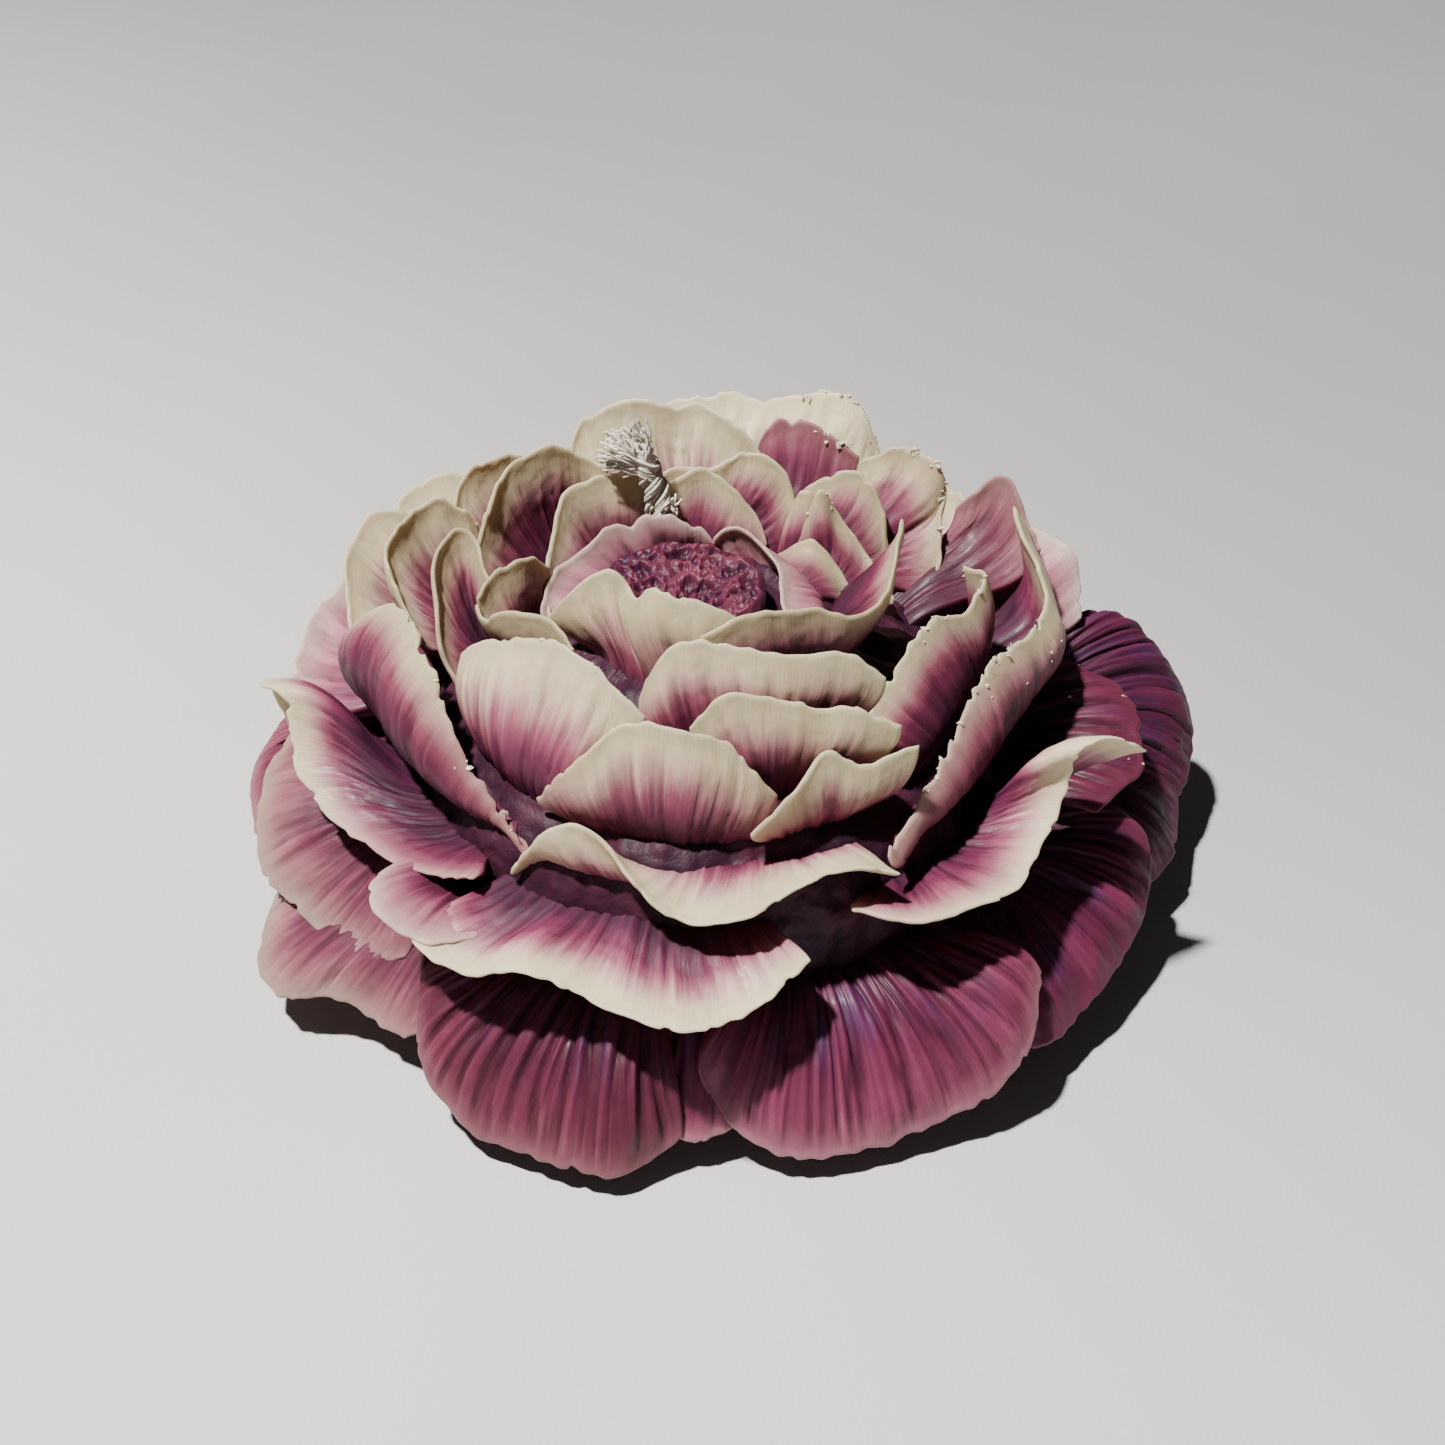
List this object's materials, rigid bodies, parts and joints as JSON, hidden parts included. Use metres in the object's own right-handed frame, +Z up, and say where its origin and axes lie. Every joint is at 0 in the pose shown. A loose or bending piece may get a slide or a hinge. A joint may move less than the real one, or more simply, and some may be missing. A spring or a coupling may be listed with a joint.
{
  "type": "flower candle",
  "caption": "Free-standing decorative wax candle shaped as an open peony, with layered upright petals over a ring of drooping petals, a wax core, a cotton wick and a pressed wick tab.",
  "frame": {"origin": "on the table, in the flat underside of the wax core, under the middle of the flower", "axes": "+Z up; the pictured side faces -Y, and +X is to the right of it"},
  "size_m": [0.1136, 0.103, 0.0547],
  "materials": {
    "wax_cream": "satin wax, cream at the rim, running through pink to deep purple at the foot",
    "wax_rose": "satin wax, pale pink at the rim, running to purple at the foot",
    "wax_plum": "satin wax, plum with fine grooves and bluish streaks",
    "wax_core": "satin dark purple wax",
    "wax_heart": "crumbled glossy purple-pink wax",
    "wick_cotton": "twisted waxed cotton, greyed",
    "tab_steel": "pressed tinned steel"
  },
  "bodies": {
    "root": {"wax_core": "wax_core", "wick_tab": "tab_steel", "wick": "wick_cotton", "heart": "wax_heart", "heart_petal_front": "wax_cream", "heart_petal_back": "wax_rose", "heart_petal_right": "wax_rose", "bud_petal_right": "wax_cream", "bud_petal_back_left": "wax_cream", "bud_petal_back": "wax_cream", "bud_petal_front_right": "wax_cream", "curl_petal_left_back": "wax_cream", "curl_petal_left_front": "wax_cream", "inner_petal_back": "wax_cream", "blade_petal_right": "wax_cream", "blade_petal_right_back": "wax_cream", "inner_petal_front": "wax_cream", "cup_petal_back_right": "wax_cream", "crown_petal_back_left": "wax_cream", "mid_petal_front": "wax_cream", "blade_petal_left": "wax_cream", "mid_petal_back_left": "wax_cream", "blush_petal_back": "wax_rose", "mid_petal_back_right": "wax_cream", "mid_petal_right": "wax_cream", "bowl_petal_front_left": "wax_cream", "bowl_petal_front_right": "wax_cream", "bowl_petal_left": "wax_cream", "bowl_petal_left_back": "wax_cream", "bowl_petal_back_left": "wax_cream", "crown_petal_back": "wax_cream", "bowl_petal_back_right": "wax_rose", "outer_petal_right": "wax_cream", "outer_petal_left": "wax_cream", "outer_petal_left_back": "wax_cream", "outer_petal_back_left": "wax_cream", "outer_petal_back": "wax_cream", "outer_petal_back_right": "wax_cream", "skirt_petal_front": "wax_cream", "skirt_petal_left": "wax_cream", "skirt_petal_left_back": "wax_rose", "skirt_petal_back_left": "wax_cream", "skirt_petal_back": "wax_cream", "skirt_petal_back_right": "wax_rose", "skirt_petal_right": "wax_plum", "skirt_petal_front_right": "wax_cream", "skirt_petal_front_left": "wax_cream", "skirt_petal_side_left": "wax_rose", "base_petal_left": "wax_rose", "base_petal_left_back": "wax_plum", "base_petal_back_left": "wax_plum", "base_petal_back_right": "wax_plum", "base_petal_right": "wax_plum", "base_petal_front_right": "wax_plum", "base_petal_front_left": "wax_plum", "low_petal_left": "wax_rose", "low_petal_left_back": "wax_plum", "low_petal_back": "wax_plum", "low_petal_right": "wax_plum", "low_petal_front": "wax_plum"}
  },
  "joints": []
}
